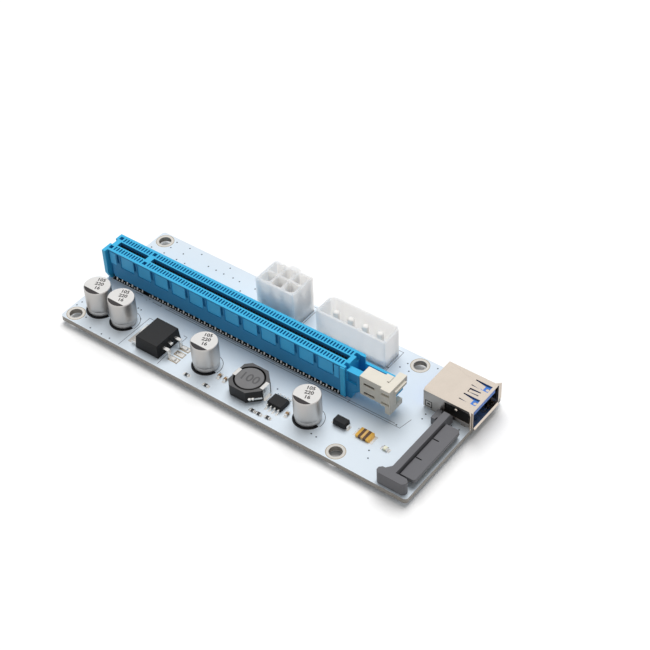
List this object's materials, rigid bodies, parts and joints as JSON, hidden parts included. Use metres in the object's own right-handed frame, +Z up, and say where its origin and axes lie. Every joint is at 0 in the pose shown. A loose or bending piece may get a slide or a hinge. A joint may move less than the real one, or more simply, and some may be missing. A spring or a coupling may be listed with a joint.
{
  "type": "riser card",
  "caption": "Riser card: a long graphics card slot with a sliding card latch, power headers, a data port, a drive power connector and a voltage regulator on a narrow board.",
  "frame": {"origin": "middle of the whole outline in plan, which the data port carries 0.9 mm past the board, at the height of the solder tips that it rests on", "axes": "+X along the slot towards the data port, +Y from the front edge to the rear edge with the headers, +Z up out of the board"},
  "size_m": [0.1234, 0.046, 0.0156],
  "materials": {
    "board": "pale blue-white solder mask over glass laminate",
    "slot_blue": "sky blue moulded plastic",
    "contact_gold": "gold plated copper alloy",
    "latch_ivory": "ivory moulded plastic",
    "header_milky": "translucent milky plastic",
    "pin_tin": "bright tin plate",
    "can_aluminium": "satin aluminium can",
    "mould_black": "black moulding compound",
    "ferrite": "dark grey ferrite",
    "fuse_gold": "amber and dark brown laminate",
    "resistor_glaze": "black glaze on ceramic",
    "ceramic_tan": "tan ceramic",
    "lamp_clear": "clear resin",
    "port_nickel": "warm nickel plate",
    "port_blue": "blue insulator",
    "drive_grey": "dark grey moulded plastic"
  },
  "bodies": {
    "card": {"circuit_board": "board", "slot_housing": "slot_blue", "slot_contacts_near": "contact_gold", "slot_contacts_far": "contact_gold", "six_pin_header_housing": "header_milky", "six_pin_header_pins": "pin_tin", "four_pin_header_housing": "header_milky", "four_pin_header_pins": "pin_tin", "capacitor_cans": "can_aluminium", "capacitor_leads": "pin_tin", "regulator_body": "mould_black", "regulator_tab": "pin_tin", "regulator_leads": "pin_tin", "regulator_pads": "pin_tin", "inductor_core": "ferrite", "inductor_drum": "ferrite", "inductor_terminals": "pin_tin", "control_chip_body": "mould_black", "control_chip_leads": "pin_tin", "diode_body": "mould_black", "diode_terminals": "pin_tin", "fuse_body": "fuse_gold", "fuse_terminals": "pin_tin", "indicator_lamp": "lamp_clear", "indicator_terminals": "pin_tin", "chip_resistors": "resistor_glaze", "chip_resistor_ends": "pin_tin", "chip_capacitors": "ceramic_tan", "chip_capacitor_ends": "pin_tin", "data_port_shell": "port_nickel", "data_port_insulator": "port_blue", "data_port_contacts": "contact_gold", "data_port_pins": "pin_tin", "drive_power_housing": "drive_grey", "drive_power_contacts": "contact_gold"},
    "latch": {"slot_latch": "latch_ivory"}
  },
  "joints": [
    {"name": "latch_slide", "type": "slide", "parent": "card", "child": "latch", "axis": [1, 0, 0], "range_m": [-0.0048, 0]}
  ]
}
